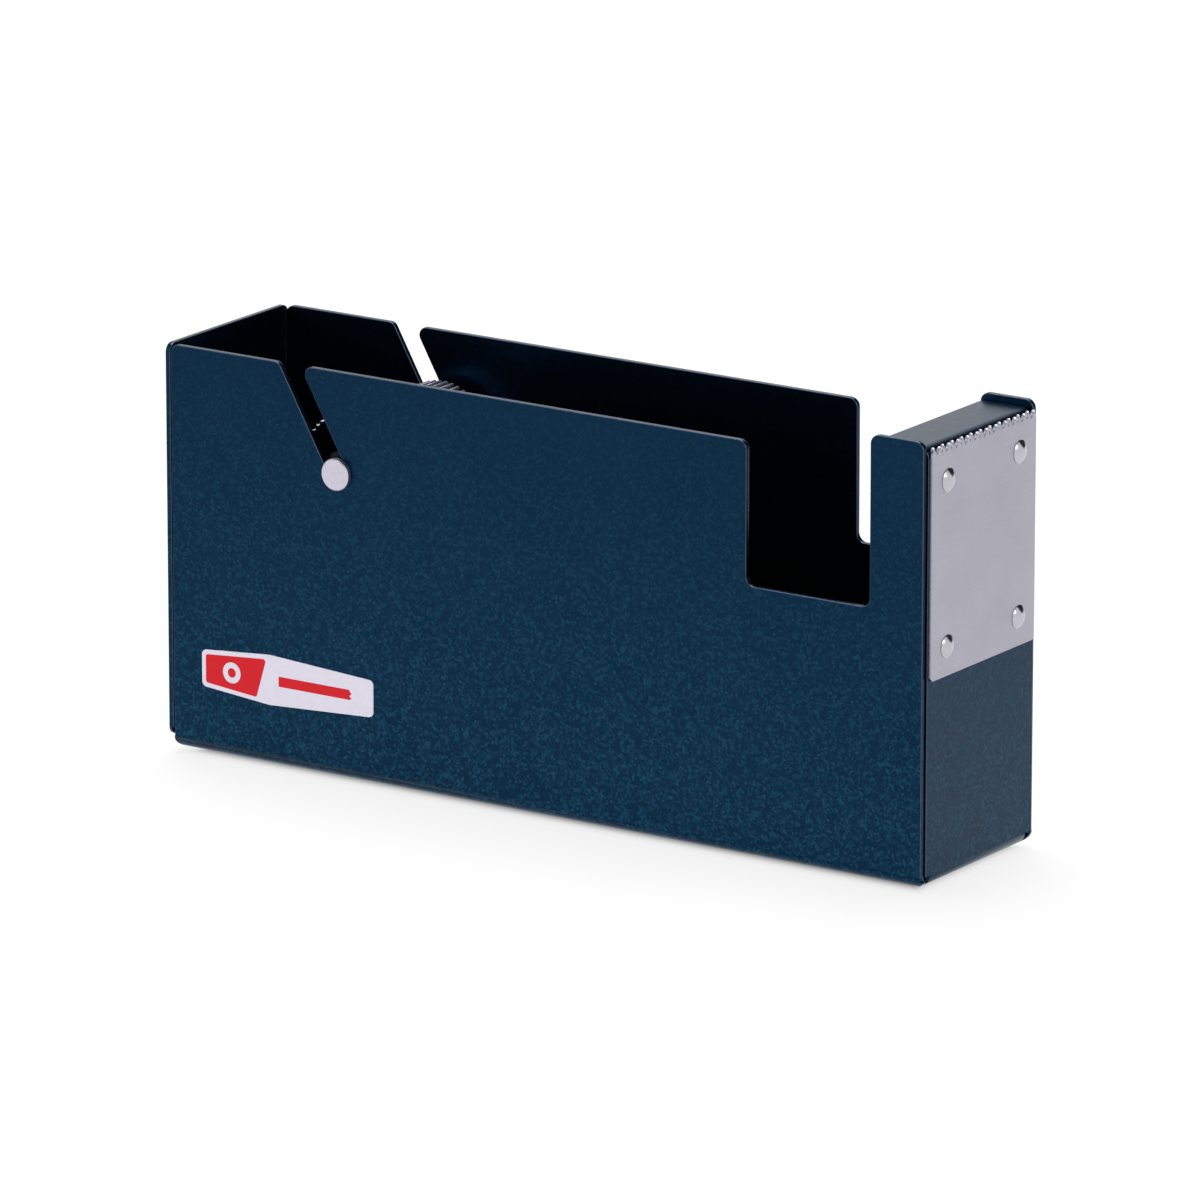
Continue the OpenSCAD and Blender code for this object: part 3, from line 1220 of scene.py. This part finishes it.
class DISPENSER_OT_stage(PieceOperator, bpy.types.Operator):
    """Floor, soft light and camera"""

    bl_idname = "dispenser.stage"
    bl_label = "Stage"

    def execute(self, context):
        scene = context.scene
        s = scene.dispenser_stage
        reach = 6.0
        mesh = bpy.data.meshes.new("floor")
        mesh.from_pydata(
            [(-reach, -reach, 0), (reach, -reach, 0), (reach, reach, 0), (-reach, reach, 0)],
            [],
            [(0, 1, 2, 3)],
        )
        new_piece("floor", mesh, lit_floor(s))

        # Name, place, width, power in watts: one box of light over the table, one low at each side
        lit_point = Vector((0, 0, 0.05))
        for name, place, width, power in (
            ("overhead_softbox", (-0.25, 0.35, 1.5), 1.2, 34),
            ("right_softbox", (1.6, -0.2, 0.9), 0.8, 7),
            ("left_softbox", (-1.1, -1.3, 0.9), 0.8, 3),
        ):
            lamp = bpy.data.lights.new(name, "AREA")
            lamp.size = width
            lamp.energy = power
            box = bpy.data.objects.new(name, lamp)
            box.location = place
            box.rotation_euler = (lit_point - box.location).to_track_quat("-Z", "Y").to_euler()
            scene.collection.objects.link(box)

        # The room is pale up to head height and falls off towards the ceiling
        world = bpy.data.worlds.new("studio")
        world.use_nodes = True
        tree = world.node_tree
        tree.nodes.clear()
        toward = add(tree, "ShaderNodeTexCoord").outputs["Generated"]
        up = add(tree, "ShaderNodeSeparateXYZ", {"Vector": toward})
        fall = add(
            tree,
            "ShaderNodeMapRange",
            {"Value": up.outputs["Z"], "From Min": 0.45, "From Max": 0.8},
            interpolation_type="SMOOTHSTEP",
        )
        sky = add(
            tree,
            "ShaderNodeMix",
            {
                "Factor": fall.outputs["Result"],
                MIX_A: (1.0, 1.0, 1.0, 1),
                MIX_B: (0.1, 0.1, 0.11, 1),
            },
            data_type="RGBA",
        )
        # A black flag hangs behind the table, and its edge is soft
        flag_middle = Vector((0.33, 0.85, 0.41)).normalized()
        flag_edge, flag_core = math.radians(32), math.radians(24)
        flag = add(
            tree,
            "ShaderNodeVectorMath",
            {0: toward, 1: flag_middle},
            operation="DOT_PRODUCT",
        )
        flagged = add(
            tree,
            "ShaderNodeMapRange",
            {
                "Value": flag.outputs["Value"],
                "From Min": math.cos(flag_edge),
                "From Max": math.cos(flag_core),
            },
            interpolation_type="SMOOTHSTEP",
        )
        seen = add(
            tree,
            "ShaderNodeMix",
            {
                "Factor": flagged.outputs["Result"],
                MIX_A: sky.outputs[MIXED],
                MIX_B: (0.03, 0.03, 0.035, 1),
            },
            data_type="RGBA",
        )
        room = add(tree, "ShaderNodeBackground", {"Color": seen.outputs[MIXED], "Strength": 1.0})
        add(tree, "ShaderNodeOutputWorld", {"Surface": room.outputs[0]})
        scene.world = world

        back = Vector(
            (
                math.sin(s.yaw) * math.cos(s.pitch),
                -math.cos(s.yaw) * math.cos(s.pitch),
                math.sin(s.pitch),
            )
        )
        right = Vector((math.cos(s.yaw), math.sin(s.yaw), 0))
        up_axis = back.cross(right)
        lens = bpy.data.cameras.new("camera")
        lens.sensor_width = 36
        lens.lens = s.lens
        lens.clip_end = 50
        camera = bpy.data.objects.new("camera", lens)
        place = Vector(s.aim) - s.slide[0] * right - s.slide[1] * up_axis + s.distance * back
        turned = Matrix((right, up_axis, back)).transposed().to_4x4()
        camera.matrix_world = Matrix.Translation(place) @ turned
        scene.collection.objects.link(camera)
        scene.camera = camera
        scene.view_settings.view_transform = "Standard"
        return {"FINISHED"}


SETTINGS = {
    "dispenser_shell": ShellSettings,
    "dispenser_cutter": CutterSettings,
    "dispenser_rivets": RivetSettings,
    "dispenser_spindle": SpindleSettings,
    "dispenser_reel": ReelSettings,
    "dispenser_label": LabelSettings,
    "dispenser_feet": FeetSettings,
    "dispenser_stage": StageSettings,
}
OPERATORS = (
    DISPENSER_OT_stage,
    DISPENSER_OT_shell,
    DISPENSER_OT_cutter,
    DISPENSER_OT_rivets,
    DISPENSER_OT_spindle,
    DISPENSER_OT_reel,
    DISPENSER_OT_label,
    DISPENSER_OT_feet,
)


class DISPENSER_PT_panel(bpy.types.Panel):
    """Lists the dispenser's pieces with their settings"""

    bl_idname = "DISPENSER_PT_panel"
    bl_label = "Tape Dispenser"
    bl_space_type = "VIEW_3D"
    bl_region_type = "UI"
    bl_category = "Dispenser"

    def draw(self, context):
        for operator in OPERATORS:
            group = "dispenser_" + operator.bl_idname.split(".")[1]
            box = self.layout.box()
            box.operator(operator.bl_idname)
            settings = getattr(context.scene, group)
            for name in SETTINGS[group].__annotations__:
                box.prop(settings, name)


def register():
    for name, group in SETTINGS.items():
        bpy.utils.register_class(group)
        setattr(bpy.types.Scene, name, bpy.props.PointerProperty(type=group))
    for cls in (*OPERATORS, DISPENSER_PT_panel):
        bpy.utils.register_class(cls)


def unregister():
    for cls in (DISPENSER_PT_panel, *reversed(OPERATORS)):
        bpy.utils.unregister_class(cls)
    for name, group in reversed(SETTINGS.items()):
        delattr(bpy.types.Scene, name)
        bpy.utils.unregister_class(group)


def main():
    register()
    bpy.ops.dispenser.stage()
    bpy.ops.dispenser.shell()
    bpy.ops.dispenser.cutter()
    bpy.ops.dispenser.rivets()
    bpy.ops.dispenser.spindle()
    bpy.ops.dispenser.reel()
    bpy.ops.dispenser.label()
    bpy.ops.dispenser.feet()


if __name__ == "__main__":
    main()
